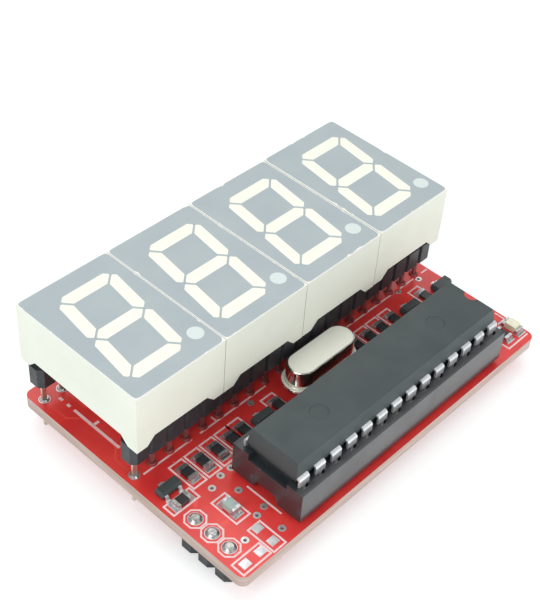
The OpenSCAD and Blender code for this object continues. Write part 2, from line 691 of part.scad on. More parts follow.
module transistor_leads() {
    z0 = zt + pad_t;
    t = tr_foot_t;
    zm = z0 + 0.06 + (tr_h - pad_t - 0.06) * 0.45;
    w = tr_w / 2;
    color("#DDE1E4") for (s = tr_spots) at(s) for (p = tr_feet)
        translate([p.x, 0, 0]) mirror([0, p.y < 0 ? 1 : 0, 0]) along_x(-0.2, 0.2)
            polygon([[w, zm - t / 2], [w + 0.14, zm - t / 2], [w + 0.22, z0], [w + 0.6, z0],
                [w + 0.6, z0 + t], [w + 0.33, z0 + t], [w + 0.25, zm + t / 2], [w, zm + t / 2]]);
}

// Pin header
module header_cell() {
    h = pitch / 2;
    c = header_cut;
    polygon([[-h, -h + c], [-h + c, -h], [h - c, -h], [h, -h + c],
        [h, h - c], [h - c, h], [-h + c, h], [-h, h - c]]);
}
module pin_header_body() {
    color("#26262A") linear_extrude(header_h) difference() {
        for (y = header_y) translate([header_x, y]) header_cell();
        for (y = header_y) translate([header_x, y]) square(header_pin, center = true);
    }
}
module pin_header_pins() {
    color("#D9DDE0") for (y = header_y) bar_at(header_x, y, header_pin, header_pin, 0.1, zt + header_tip);
}

// Build
circuit_board();
tinned_pads();
solder_joints();
display_housing(1);  // display_housing_1
display_housing(2);  // display_housing_2
display_housing(3);  // display_housing_3
display_housing(4);  // display_housing_4
display_face(1);  // display_face_1
display_face(2);  // display_face_2
display_face(3);  // display_face_3
display_face(4);  // display_face_4
display_resin(1);  // display_resin_1
display_resin(2);  // display_resin_2
display_resin(3);  // display_resin_3
display_resin(4);  // display_resin_4
display_die_board(1);  // display_die_board_1
display_die_board(2);  // display_die_board_2
display_die_board(3);  // display_die_board_3
display_die_board(4);  // display_die_board_4
display_dies(1);  // display_dies_1
display_dies(2);  // display_dies_2
display_dies(3);  // display_dies_3
display_dies(4);  // display_dies_4
display_pins(1);  // display_pins_1
display_pins(2);  // display_pins_2
display_pins(3);  // display_pins_3
display_pins(4);  // display_pins_4
front_strip();  // front_strip_body
rear_strip();  // rear_strip_body
strip_contacts(strip_y[0]);  // front_strip_contacts
strip_contacts(strip_y[1]);  // rear_strip_contacts
chip_socket_body();
chip_socket_contacts();
chip_body();
chip_leads();
crystal_can();
crystal_base();
crystal_leads();
resistor_bodies();
resistor_ends();
capacitor_body();
capacitor_ends();
transistor_bodies();
transistor_leads();
status_light_body();
status_light_ends();
pin_header_body();
pin_header_pins();
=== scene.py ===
"""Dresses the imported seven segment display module: finishes, printed marks, copper, solder and the studio."""

import logging
import math
from collections.abc import Iterator
from dataclasses import dataclass, field, replace
from enum import Enum

import bmesh
import bpy
from mathutils import Matrix, Vector


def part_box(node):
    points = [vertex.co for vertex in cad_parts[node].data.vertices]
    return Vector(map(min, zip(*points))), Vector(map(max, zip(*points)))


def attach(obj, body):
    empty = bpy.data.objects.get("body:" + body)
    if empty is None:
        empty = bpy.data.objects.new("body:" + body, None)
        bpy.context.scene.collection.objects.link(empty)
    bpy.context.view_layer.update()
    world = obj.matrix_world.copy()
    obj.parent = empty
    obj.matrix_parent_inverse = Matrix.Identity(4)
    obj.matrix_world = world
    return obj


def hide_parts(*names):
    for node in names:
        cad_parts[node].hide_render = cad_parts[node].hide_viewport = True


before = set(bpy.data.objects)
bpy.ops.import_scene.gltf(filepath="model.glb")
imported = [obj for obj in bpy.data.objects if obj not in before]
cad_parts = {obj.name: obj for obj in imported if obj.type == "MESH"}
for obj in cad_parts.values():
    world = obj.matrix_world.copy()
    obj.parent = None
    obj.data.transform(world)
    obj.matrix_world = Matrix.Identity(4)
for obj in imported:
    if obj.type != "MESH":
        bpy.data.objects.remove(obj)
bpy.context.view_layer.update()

Colour = tuple[float, float, float]
Place = tuple[float, float, float]
Point = tuple[float, float]
Box = tuple[Point, Point]
Route = tuple[Point, ...]
Socket = bpy.types.NodeSocket
Value = Socket | float | Colour

MM = 0.001
BODY = "root"
LOG = logging.getLogger("display_module")

# Stretches of a value that are spread over a whole blend
WHOLE: Point = (0.0, 1.0)
BROAD: Point = (0.3, 0.7)
BRIGHT: Point = (0.35, 0.7)
EVEN: Point = (0.35, 0.65)
CRISP: Point = (0.4, 0.6)

# The sockets of a mix node that blend colours, by their order
MIX_SHARE, MIX_FIRST, MIX_SECOND, MIX_RESULT = 0, 6, 7, 2


def srgb(red: int, green: int, blue: int) -> Colour:
    """A colour as a renderer counts it.

    Args:
        red, green, blue: the colour as a screen shows it, 0 to 255.
    Returns:
        The same colour on a linear scale.
    """
    def line(value: float) -> float:
        """One channel on a linear scale."""
        value /= 255.0
        return value / 12.92 if value <= 0.04045 else ((value + 0.055) / 1.055) ** 2.4
    return line(red), line(green), line(blue)


class Surface(Enum):
    """The record's material slots, one named for each new piece."""

    BOARD = "red_board"
    SOLDER = "solder"
    SHELL = "white_shell"
    BLACK = "black_plastic"
    SOCKET = "socket_plastic"
    CHIP = "chip_epoxy"
    CAN = "can_metal"


class Graph:
    """A material's node graph, put together in a few words."""

    def __init__(self, name: str) -> None:
        """Starts a material with a plain shader.

        Args:
            name: the material's name.
        """
        self.material: bpy.types.Material = bpy.data.materials.new(name)
        self.material.use_nodes = True
        self.tree = self.material.node_tree
        self.shader = self.tree.nodes["Principled BSDF"]
        self.coords = self.node("ShaderNodeTexCoord").outputs["Object"]

    def node(self, kind: str, **settings: object) -> bpy.types.Node:
        """Adds one node.

        Args:
            kind: the node's type name.
            settings: values for the node's own properties.
        Returns:
            The node.
        """
        made = self.tree.nodes.new(kind)
        for key, value in settings.items():
            setattr(made, key, value)
        return made

    def feed(self, socket: Socket, value: Value) -> None:
        """Links a socket, or sets its number or colour.

        Args:
            socket: the input to fill.
            value: an output socket, a number or a colour.
        """
        if isinstance(value, Socket):
            self.tree.links.new(value, socket)
        elif isinstance(value, tuple) and len(value) == 3 and len(socket.default_value) == 4:
            socket.default_value = (*value, 1.0)
        else:
            socket.default_value = value

    def noise(self, size_mm: float, detail: float = 3.0, stretch: Place = (1.0, 1.0, 1.0)) -> Socket:
        """A cloudy pattern from 0 to 1.

        Args:
            size_mm: the size of its patches in millimetres.
            detail: how many finer layers it has.
            stretch: how much longer the patches are along X, Y and Z.
        Returns:
            Its value.
        """
        place = self.node("ShaderNodeMapping", vector_type="TEXTURE")
        self.feed(place.inputs["Vector"], self.coords)
        self.feed(place.inputs["Scale"], tuple(MM * size_mm * part for part in stretch))
        made = self.node("ShaderNodeTexNoise", noise_dimensions="3D")
        self.feed(made.inputs["Vector"], place.outputs["Vector"])
        self.feed(made.inputs["Scale"], 1.0)
        self.feed(made.inputs["Detail"], detail)
        return made.outputs["Fac"]

    def spread(self, value: Value, reach: Point, to: Point = WHOLE) -> Socket:
        """Maps a value from one range to another, clamped.

        Args:
            value: what is mapped.
            reach: the ends of the range it comes from.
            to: the ends of the range it goes to.
        Returns:
            The mapped value.
        """
        made = self.node("ShaderNodeMapRange", clamp=True)
        for name, item in (("Value", value), ("From Min", reach[0]), ("From Max", reach[1]),
                           ("To Min", to[0]), ("To Max", to[1])):
            self.feed(made.inputs[name], item)
        return made.outputs["Result"]

    def maths(self, work: str, first: Value, second: Value = 0.0, third: float = 0.0) -> Socket:
        """One sum of two values.

        Args:
            work: the operation's name.
            first, second: the values.
            third: the distance that a smooth operation works over.
        Returns:
            The result.
        """
        made = self.node("ShaderNodeMath", operation=work)
        self.feed(made.inputs[0], first)
        self.feed(made.inputs[1], second)
        self.feed(made.inputs[2], third)
        return made.outputs[0]

    def blend(self, share: Value, first: Value, second: Value) -> Socket:
        """Mixes two colours.

        Args:
            share: how much of the second, 0 to 1.
            first, second: the colours.
        Returns:
            The mixed colour.
        """
        made = self.node("ShaderNodeMix", data_type="RGBA")
        self.feed(made.inputs[MIX_SHARE], share)
        self.feed(made.inputs[MIX_FIRST], first)
        self.feed(made.inputs[MIX_SECOND], second)
        return made.outputs[MIX_RESULT]

    def axis(self, index: int, socket: Socket | None = None) -> Socket:
        """One component of a vector, of the place by default.

        Args:
            index: 0, 1 or 2 for X, Y or Z.
            socket: the vector.
        Returns:
            The component.
        """
        made = self.node("ShaderNodeSeparateXYZ")
        self.feed(made.inputs[0], self.coords if socket is None else socket)
        return made.outputs[index]

    def distance(self, centre: Point = (0.0, 0.0)) -> Socket:
        """How far the place is from an upright line.

        Args:
            centre: where the line stands, in metres.
        Returns:
            The distance in metres.
        """
        squares = []
        for index in (0, 1):
            away = self.maths("SUBTRACT", self.axis(index), centre[index])
            squares.append(self.maths("MULTIPLY", away, away))
        return self.maths("SQRT", self.maths("ADD", *squares))

    def facing_up(self) -> Socket:
        """How level the surface is: 1 on a top or an underside, 0 on an upright side."""
        normal = self.node("ShaderNodeNewGeometry").outputs["Normal"]
        return self.maths("ABSOLUTE", self.axis(2, normal))

    def bump(self, height: Value, depth_mm: float, strength: float = 1.0) -> None:
        """Gives the shader a relief.

        Args:
            height: the relief's value, 0 to 1.
            depth_mm: how deep it is in millimetres.
            strength: how much of it shows.
        """
        made = self.node("ShaderNodeBump")
        self.feed(made.inputs["Height"], height)
        self.feed(made.inputs["Distance"], depth_mm * MM)
        self.feed(made.inputs["Strength"], strength)
        self.feed(self.shader.inputs["Normal"], made.outputs["Normal"])

    def set(self, **values: Value) -> None:
        """Fills the shader's sockets.

        Args:
            values: socket names with _ for a space, and what goes in.
        """
        for name, value in values.items():
            self.feed(self.shader.inputs[name.replace("_", " ")], value)


@dataclass(frozen=True)
class Moulded:
    """A moulded plastic or a cast resin: two close shades, a fine grain and a satin sheen."""

    name: str
    shade: Colour
    darker: Colour
    patch_mm: float = 2.5
    grain_mm: float = 0.12
    grain_depth_mm: float = 0.006
    rough: Point = (0.4, 0.55)
    specular: float = 0.5
    coat: float = 0.0

    def material(self) -> bpy.types.Material:
        """Builds the finish.

        Returns:
            Its material.
        """
        graph = Graph(self.name)
        patches = graph.noise(self.patch_mm)
        body = graph.blend(graph.spread(patches, BROAD), self.shade, self.darker)
        graph.set(Base_Color=self.tint(graph, body), Roughness=graph.spread(patches, BROAD, self.rough),
                  Specular_IOR_Level=self.specular, Coat_Weight=self.coat)
        graph.bump(graph.noise(self.grain_mm, detail=4.0), self.grain_depth_mm)
        return graph.material

    def tint(self, graph: Graph, body: Socket) -> Socket:
        """The colour of the whole surface, for a finish that lays a second tone over the first.

        Args:
            graph: the material's graph.
            body: the mixed shades.
        Returns:
            The colour.
        """
        return body


@dataclass(frozen=True)
class CastResin(Moulded):
    """Milky resin with a duller decimal point."""

    point: Point = (0.0, 0.0)
    reach_mm: float = 1.1
    dull: Colour = (0.75, 0.8, 0.78)

    def tint(self, graph: Graph, body: Socket) -> Socket:
        """The mixed shades, with the dull tone round the decimal point.

        Args:
            graph: the material's graph.
            body: the mixed shades.
        Returns:
            The colour.
        """
        inside = graph.maths("LESS_THAN", graph.distance(self.point), self.reach_mm * MM)
        return graph.blend(inside, body, self.dull)


@dataclass(frozen=True)
class PaintedLightTone:
    """A second tone of painted light that covers a share of a metal: painted shade where the digits shelter it,
    a painted highlight on a can's top.
    """

    colour: Colour
    metallic: float = 0.3
    rough: float = 0.5


@dataclass(frozen=True)
class Metal:
    """A plated or soldered metal: a bright shade, duller patches and fine scratches."""

    name: str
    shade: Colour
    darker: Colour
    patch_mm: float = 0.8
    rough: Point = (0.2, 0.38)
    scratch: Place = (1.0, 1.0, 1.0)
    scratch_mm: float = 0.08
    depth_mm: float = 0.004
    metallic: float = 1.0

    def material(self) -> bpy.types.Material:
        """Builds the finish.

        Returns:
            Its material.
        """
        graph = Graph(self.name)
        patches = graph.noise(self.patch_mm)
        body = graph.blend(graph.spread(patches, BRIGHT), self.shade, self.darker)
        self.fill(graph, body, graph.spread(patches, BROAD, self.rough))
        graph.bump(graph.noise(self.scratch_mm, stretch=self.scratch), self.depth_mm)
        return graph.material

    def fill(self, graph: Graph, body: Socket, rough: Socket) -> None:
        """Fills the shader with the metal.

        Args:
            graph: the material's graph.
            body: the mixed shades.
            rough: the roughness.
        """
        graph.set(Base_Color=body, Metallic=self.metallic, Roughness=rough)

    def cover(self, graph: Graph, body: Socket, rough: Socket, share: Socket, tone: PaintedLightTone) -> None:
        """Fills the shader with the metal and a second tone of painted light over it.

        Args:
            graph: the material's graph.
            body: the mixed shades.
            rough: the roughness.
            share: how much of the tone lies there, 0 to 1.
            tone: the second tone, painted light.
        """
        graph.set(Base_Color=graph.blend(share, body, tone.colour),
                  Metallic=graph.spread(share, WHOLE, (self.metallic, tone.metallic)),
                  Roughness=graph.maths("MAXIMUM", rough, graph.maths("MULTIPLY", share, tone.rough)))


@dataclass(frozen=True)
class ShadePaintedMetal(Metal):
    """A metal that is bright in the open, with painted shade and a painted red reflection of the board where
    the digits shade it.
    """

    # The dull tone is painted shade with a painted red reflection of the board; it lies in the box below, where
    # the digits shade the metal, and the pins at the far left stay bright
    dull: PaintedLightTone = PaintedLightTone((0.2, 0.05, 0.05))
    shade_left_mm: float = -23.4
    shade_front_mm: float = -0.65
    shade_rear_mm: float = 12.0
    shade_level_mm: float = 3.4

    def fill(self, graph: Graph, body: Socket, rough: Socket) -> None:
        """Fills the shader, with the dull tone painted as shade and red board reflection where the digits
        shelter the metal.

        Args:
            graph: the material's graph.
            body: the mixed shades.
            rough: the roughness.
        """
        along, across, up = (graph.axis(index) for index in range(3))
        # Mask of the painted shade: 1 inside the box that the digits shade, 0 outside
        share = graph.maths("GREATER_THAN", along, self.shade_left_mm * MM)
        for rule, value, edge_mm in (("GREATER_THAN", across, self.shade_front_mm),
                                     ("LESS_THAN", across, self.shade_rear_mm),
                                     ("GREATER_THAN", up, self.shade_level_mm)):
            share = graph.maths("MULTIPLY", share, graph.maths(rule, value, edge_mm * MM))
        self.cover(graph, body, rough, share, self.dull)


@dataclass(frozen=True)
class DrawnCan(Metal):
    """A drawn can with lengthwise grain: a satin top painted pale as a painted highlight of the lit top, and
    sides that mirror what is round them.
    """

    # The top tone is a painted highlight: the level top is painted a pale, almost non-metal colour, as the
    # bright room lights it
    top: PaintedLightTone = PaintedLightTone((0.8, 0.8, 0.75))
    level: Point = (0.9, 0.98)

    def fill(self, graph: Graph, body: Socket, rough: Socket) -> None:
        """Fills the shader, with the pale tone painted on the level top as its highlight.

        Args:
            graph: the material's graph.
            body: the mixed shades.
            rough: the roughness.
        """
        self.cover(graph, body, rough, graph.spread(graph.facing_up(), self.level), self.top)


@dataclass(frozen=True)
class SolderMask:
    """Glossy red solder mask on the board's faces, with the pale cut laminate on its edges."""

    name: str
    shade: Colour
    darker: Colour
    edge: Colour
    edge_darker: Colour
    cloud_mm: float = 4.0
    weave_mm: float = 0.35
    weave_depth_mm: float = 0.01
    weave_shown: float = 0.6
    layer_mm: float = 0.25
    layer_stretch: Place = (30.0, 30.0, 1.0)
    face_rough: float = 0.3
    edge_rough: float = 0.7
    coat: float = 0.25
    coat_rough: float = 0.15

    def material(self) -> bpy.types.Material:
        """Builds the finish.

        Returns:
            Its material.
        """
        graph = Graph(self.name)
        flat = graph.spread(graph.facing_up(), CRISP)
        face = graph.blend(graph.spread(graph.noise(self.cloud_mm), EVEN), self.shade, self.darker)
        layers = graph.spread(graph.noise(self.layer_mm, stretch=self.layer_stretch), CRISP)
        cut = graph.blend(layers, self.edge, self.edge_darker)
        graph.set(Base_Color=graph.blend(flat, cut, face),
                  Roughness=graph.spread(flat, WHOLE, (self.edge_rough, self.face_rough)),
                  Coat_Weight=self.coat, Coat_Roughness=self.coat_rough)
        graph.bump(graph.noise(self.weave_mm, detail=2.0), self.weave_depth_mm, self.weave_shown)
        return graph.material


@dataclass(frozen=True)
class PrintedFilm:
    """The grey print on a digit's face, which stops just short of the edges and is chipped there."""

    name: str
    shade: Colour
    darker: Colour
    bare: Colour
    low: Point = (0.0, 0.0)
    high: Point = (0.0, 0.0)
    border_mm: float = 0.08
    corner_mm: float = 0.9
    fade_mm: float = 0.03
    chip_mm: float = 0.2
    chip_patch_mm: float = 1.3
    chip_share: Point = (0.6, 0.75)
    cloud_mm: float = 5.0
    rough: Point = (0.42, 0.55)
    specular: float = 0.4
    speckle_mm: float = 0.16
    speckle_depth_mm: float = 0.006
    speckle_shown: float = 0.8

    def material(self) -> bpy.types.Material:
        """Builds the finish.

        Returns:
            Its material.
        """
        graph = Graph(self.name)
        clouds = graph.noise(self.cloud_mm)
        body = graph.blend(graph.spread(clouds, EVEN), self.shade, self.darker)
        graph.set(Base_Color=graph.blend(self.printed(graph), self.bare, body),
                  Roughness=graph.spread(clouds, BROAD, self.rough), Specular_IOR_Level=self.specular)
        graph.bump(graph.noise(self.speckle_mm, detail=4.0), self.speckle_depth_mm, self.speckle_shown)
        return graph.material

    def printed(self, graph: Graph) -> Socket:
        """Where the print lies.

        Args:
            graph: the material's graph.
        Returns:
            1 inside its chipped outline with round corners, and 0 outside.
        """
        nearest = []
        for index in (0, 1):
            place = graph.axis(index)
            after_low = graph.maths("SUBTRACT", place, self.low[index])
            before_high = graph.maths("SUBTRACT", self.high[index], place)
            nearest.append(graph.maths("MINIMUM", after_low, before_high))
        inside = graph.maths("SMOOTH_MIN", *nearest, self.corner_mm * MM)
        chips = graph.spread(graph.noise(self.chip_patch_mm, detail=5.0), self.chip_share,
                             (0.0, self.chip_mm * MM))
        inside = graph.maths("SUBTRACT", graph.maths("SUBTRACT", inside, self.border_mm * MM), chips)
        return graph.spread(inside, (-self.fade_mm * MM, self.fade_mm * MM))


@dataclass(frozen=True)
class Finishes:
    """Every finish of the module."""

    mask: SolderMask = SolderMask(
        "red_solder_mask", srgb(238, 66, 61), srgb(224, 56, 55),
        edge=srgb(206, 184, 174), edge_darker=srgb(186, 162, 152))
    trace: Moulded = Moulded(
        "red_over_copper", srgb(247, 84, 74), srgb(238, 74, 68), patch_mm=3.0,
        grain_mm=0.3, grain_depth_mm=0.008, rough=(0.25, 0.35), coat=0.25)
    ink: Moulded = Moulded(
        "white_ink", srgb(250, 226, 226), srgb(242, 204, 206), patch_mm=0.5, grain_mm=0.1, rough=(0.5, 0.65))
    # Pads under the digits: painted shade, with a painted red reflection of the board
    tin: ShadePaintedMetal = ShadePaintedMetal(
        "tinned_copper_painted_shade", srgb(232, 232, 232), srgb(206, 206, 208), rough=(0.3, 0.45),
        metallic=0.85, dull=PaintedLightTone(srgb(230, 50, 50)))
    # Joints under the digits: painted shade, with a painted red-brown reflection of the board
    joint: ShadePaintedMetal = ShadePaintedMetal(
        "joint_painted_shade", srgb(196, 196, 194), srgb(150, 150, 150), patch_mm=0.5, rough=(0.2, 0.36),
        scratch_mm=0.25, depth_mm=0.012, metallic=0.9, dull=PaintedLightTone(srgb(150, 70, 68)))
    solder: Metal = Metal(
        "solder_finish", srgb(222, 224, 226), srgb(140, 143, 148), patch_mm=0.4, rough=(0.2, 0.34),
        scratch_mm=0.25, depth_mm=0.012, metallic=0.9)
    pin: Metal = Metal(
        "tinned_pin_finish", srgb(226, 228, 230), srgb(196, 199, 203), patch_mm=0.6, rough=(0.25, 0.4))
    lead: Metal = Metal(
        "tin_plated_lead", srgb(244, 245, 246), srgb(222, 225, 228), patch_mm=0.6, rough=(0.32, 0.46),
        scratch=(1.0, 1.0, 6.0), scratch_mm=0.05, depth_mm=0.003, metallic=0.8)
    contact: Metal = Metal(
        "tinned_bronze", srgb(226, 222, 212), srgb(196, 188, 170), patch_mm=0.6, rough=(0.3, 0.45),
        metallic=0.9)
    # Strip tails under the digits: painted shade, dull red-brown from a painted reflection of the board
    tail: ShadePaintedMetal = ShadePaintedMetal(
        "strip_tail_painted_shade", srgb(226, 222, 212), srgb(196, 188, 170), patch_mm=0.6, rough=(0.3, 0.45),
        metallic=0.9, dull=PaintedLightTone(srgb(146, 90, 88)))
    ends: Metal = Metal(
        "tinned_end_finish", srgb(226, 226, 228), srgb(138, 138, 142), patch_mm=0.45, rough=(0.22, 0.36),
        scratch_mm=0.2, depth_mm=0.008, metallic=0.95)
    shell: Moulded = Moulded(
        "white_moulded_shell", srgb(243, 246, 233), srgb(238, 241, 227), patch_mm=6.0,
        grain_mm=0.18, grain_depth_mm=0.008, specular=0.45)
    film: PrintedFilm = PrintedFilm(
        "grey_print", srgb(178, 190, 193), srgb(174, 186, 190), bare=srgb(250, 250, 244))
    resin: CastResin = CastResin(
        "milky_resin", srgb(251, 253, 240), srgb(248, 250, 235), patch_mm=1.2,
        grain_mm=0.3, rough=(0.25, 0.4), dull=srgb(220, 232, 229))
    laminate: Moulded = Moulded(
        "tan_laminate_finish", srgb(196, 178, 128), srgb(178, 158, 108), patch_mm=1.5,
        grain_mm=0.2, grain_depth_mm=0.01, rough=(0.55, 0.7))
    die: Moulded = Moulded(
        "die_finish", srgb(226, 220, 190), srgb(210, 200, 170), patch_mm=0.2,
        grain_mm=0.05, grain_depth_mm=0.002, rough=(0.3, 0.4))
    black: Moulded = Moulded(
        "black_moulding", srgb(50, 54, 58), srgb(40, 44, 48), patch_mm=1.5,
        grain_mm=0.1, grain_depth_mm=0.008, rough=(0.36, 0.5))
    socket: Moulded = Moulded(
        "socket_moulding", srgb(47, 51, 54), srgb(40, 44, 47), patch_mm=3.0,
        rough=(0.26, 0.36), specular=0.6, coat=0.3)
    epoxy: Moulded = Moulded(
        "moulding_compound", srgb(60, 70, 71), srgb(55, 65, 66), patch_mm=3.5,
        grain_mm=0.09, grain_depth_mm=0.01, rough=(0.44, 0.54), specular=0.6)
    # The can's level top carries a painted highlight: a pale, almost non-metal tone
    can: DrawnCan = DrawnCan(
        "nickel_can_painted_lit_top", srgb(232, 230, 220), srgb(216, 213, 202), patch_mm=1.6, rough=(0.1, 0.18),
        scratch=(14.0, 1.0, 1.0), scratch_mm=0.05, depth_mm=0.002,
        top=PaintedLightTone(srgb(251, 253, 240), metallic=0.12))
    flange: Metal = Metal("dull_nickel", srgb(150, 145, 130), srgb(120, 115, 100), rough=(0.4, 0.55))
    glaze: Moulded = Moulded(
        "black_glaze", srgb(52, 54, 56), srgb(40, 42, 44), patch_mm=0.7,
        grain_mm=0.08, grain_depth_mm=0.004, rough=(0.25, 0.4))
    ceramic: Moulded = Moulded(
        "pale_ceramic", srgb(176, 194, 188), srgb(162, 180, 174), patch_mm=0.6, grain_mm=0.08)
    lens: Moulded = Moulded(
        "yellow_lens", srgb(250, 249, 226), srgb(242, 240, 210), patch_mm=0.6,
        grain_mm=0.1, grain_depth_mm=0.003, rough=(0.12, 0.22), specular=0.6, coat=0.4)


FINISH = Finishes()
Finish = Moulded | Metal | SolderMask | PrintedFilm


@dataclass
class Workshop:
    """Turns bmeshes and copies of the frame's nodes into dressed pieces."""

    smooth_deg: float = 35.0
    flat_deg: float = 0.5
    corner_deg: float = 40.0
    edge_faces: int = 2
    weld: float = 0.0000005
    built: dict[str, bpy.types.Material] = field(default_factory=dict)

    def finish(self, recipe: Finish) -> bpy.types.Material:
        """A finish's material, built once.

        Args:
            recipe: one of the finish dataclasses.
        Returns:
            The material.
        """
        if recipe.name not in self.built:
            self.built[recipe.name] = recipe.material()
        return self.built[recipe.name]

    def dress(self, node: str, recipe: Finish) -> None:
        """Gives a CAD node its finish.

        Args:
            node: the node's name.
            recipe: its finish.
        """
        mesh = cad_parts[node].data
        mesh.materials.clear()
        mesh.materials.append(self.finish(recipe))
        LOG.info("%s: %s", node, recipe.name)

    def place(self, name: str, shape: bmesh.types.BMesh, recipe: Finish, surface: Surface,
              smooth_deg: float | None = None) -> bpy.types.Object:
        """Makes a piece of a finished bmesh and fixes it to the module.

        Args:
            name: the piece's name.
            shape: its mesh, in metres in the frame; it is freed.
            recipe: its finish.
            surface: the record's slot that the finish belongs to; it is not used.
            smooth_deg: edges bent by less than this are shaded smooth; None takes the shop's own limit.
        Returns:
            The piece.
        """
        limit = math.radians(smooth_deg or self.smooth_deg)
        shape.normal_update()
        for face in shape.faces:
            face.smooth = True
        for edge in shape.edges:
            edge.smooth = len(edge.link_faces) == 2 and edge.calc_face_angle(0.0) < limit
        mesh = bpy.data.meshes.new(name)
        shape.to_mesh(mesh)
        shape.free()
        mesh.materials.append(self.finish(recipe))
        piece = bpy.data.objects.new(name, mesh)
        bpy.context.scene.collection.objects.link(piece)
        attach(piece, BODY)
        LOG.info("%s: %d faces", name, len(mesh.polygons))
        return piece

    def soften(self, node: str, edge_mm: float, recipe: Finish, surface: Surface) -> bpy.types.Object:
        """Stands a copy of a CAD node with its edges broken, as a mould or a saw leaves them, in its place.

        Args:
            node: the node's name.
            edge_mm: the width of the broken edges.
            recipe: its finish.
            surface: the record's slot that the finish belongs to.
        Returns:
            The piece.
        """
        shape = bmesh.new()
        shape.from_mesh(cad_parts[node].data)
        bmesh.ops.remove_doubles(shape, verts=shape.verts, dist=self.weld)
        bmesh.ops.dissolve_limit(shape, verts=shape.verts, edges=shape.edges, delimit={"NORMAL"},
                                 angle_limit=math.radians(self.flat_deg), use_dissolve_boundaries=False)
        piece = self.place(f"{node}_moulded", shape, recipe, surface)
        bevel = piece.modifiers.new("broken_edges", "BEVEL")
        bevel.width = edge_mm * MM
        bevel.segments = self.edge_faces
        bevel.limit_method = "ANGLE"
        bevel.angle_limit = math.radians(self.corner_deg)
        bevel.harden_normals = True
        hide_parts(node)
        return piece


SHOP = Workshop()


class Ribbon:
    """Flat strips and frames of print or copper, gathered in one mesh."""

    # The cosine beyond which a mitred corner isn't stretched any further
    LEAST_COSINE = 0.3

    def __init__(self, level: float, thick_mm: float) -> None:
        """Starts an empty mesh.

        Args:
            level: the height of the face that the strips lie on, in metres.
            thick_mm: how thick they are.
        """
        self.level = level
        self.thick = thick_mm * MM
        self.shape = bmesh.new()

    def line(self, points: Route, width_mm: float) -> None:
        """Lays a strip along a bent line, with square ends and mitred corners.

        Args:
            points: its corners in millimetres.
            width_mm: its width.
        """
        path = [Vector((x * MM, y * MM, self.level)) for x, y in points]
        steps = [(b - a).normalized() for a, b in zip(path, path[1:])]
        row: list[bmesh.types.BMVert] = []
        for index, spot in enumerate(path):
            before = steps[max(index - 1, 0)]
            after = steps[min(index, len(steps) - 1)]
            across = Vector((-(before + after).y, (before + after).x, 0.0)).normalized()
            cosine = max(self.LEAST_COSINE, across.dot(Vector((-after.y, after.x, 0.0))))
            reach = across * (width_mm * MM / 2 / cosine)
            if not row:
                row = [self.shape.verts.new(spot - reach), self.shape.verts.new(spot + reach)]
                edge = self.shape.edges.new(row)
                continue
            made = bmesh.ops.extrude_edge_only(self.shape, edges=[edge])["geom"]
            fresh = [item for item in made if isinstance(item, bmesh.types.BMVert)]
            edge = next(item for item in made if isinstance(item, bmesh.types.BMEdge)
                        and all(vert in fresh for vert in item.verts))
            old = Vector(row[0].co)
            fresh.sort(key=lambda vert: (vert.co - old).length)
            fresh[0].co = spot - reach
            fresh[1].co = spot + reach
            row = fresh

    def frame_round(self, low: Point, high: Point, width_mm: float) -> None:
        """Lays a strip round a rectangle.

        Args:
            low, high: its corners in millimetres.
            width_mm: the strip's width.
        """
        half = width_mm / 2
        for y in (low[1], high[1]):
            self.line(((low[0] - half, y), (high[0] + half, y)), width_mm)
        for x in (low[0], high[0]):
            self.line(((x, low[1] + half), (x, high[1] - half)), width_mm)

    def ring(self, centre: Point, radius_mm: float, width_mm: float, sides: int) -> None:
        """Lays a many-sided frame with a side, not a corner, on each axis.

        Args:
            centre: its middle in millimetres.
            radius_mm: its outer radius, out to the corners.
            width_mm: its width.
            sides: how many sides it has.
        """
        turn = Matrix.Rotation(math.pi / sides, 4, "Z")
        place = Matrix.Translation((centre[0] * MM, centre[1] * MM, self.level)) @ turn
        outer = bmesh.ops.create_circle(self.shape, cap_ends=False, segments=sides, radius=radius_mm * MM,
                                        matrix=place)["verts"]
        rim = list({edge for vert in outer for edge in vert.link_edges})
        made = bmesh.ops.extrude_edge_only(self.shape, edges=rim)["geom"]
        inner = [item for item in made if isinstance(item, bmesh.types.BMVert)]
        share = (radius_mm - width_mm) / radius_mm
        bmesh.ops.scale(self.shape, vec=(share, share, 1.0), verts=inner,
                        space=Matrix.Translation((-centre[0] * MM, -centre[1] * MM, 0.0)))

    def finish(self, name: str, recipe: Finish, surface: Surface) -> bpy.types.Object:
        """Gives the strips their thickness and makes them a piece.

        Args:
            name: the piece's name.
            recipe: its finish.
            surface: the record's slot that the finish belongs to.
        Returns:
            The piece.
        """
        bmesh.ops.recalc_face_normals(self.shape, faces=self.shape.faces)
        for face in [face for face in self.shape.faces if face.normal.z < 0.0]:
            face.normal_flip()
        made = bmesh.ops.extrude_face_region(self.shape, geom=self.shape.faces[:], use_keep_orig=True)["geom"]
        top = [item for item in made if isinstance(item, bmesh.types.BMVert)]
        bmesh.ops.translate(self.shape, vec=(0.0, 0.0, self.thick), verts=top)
        bmesh.ops.recalc_face_normals(self.shape, faces=self.shape.faces)
        return SHOP.place(name, self.shape, recipe, surface)


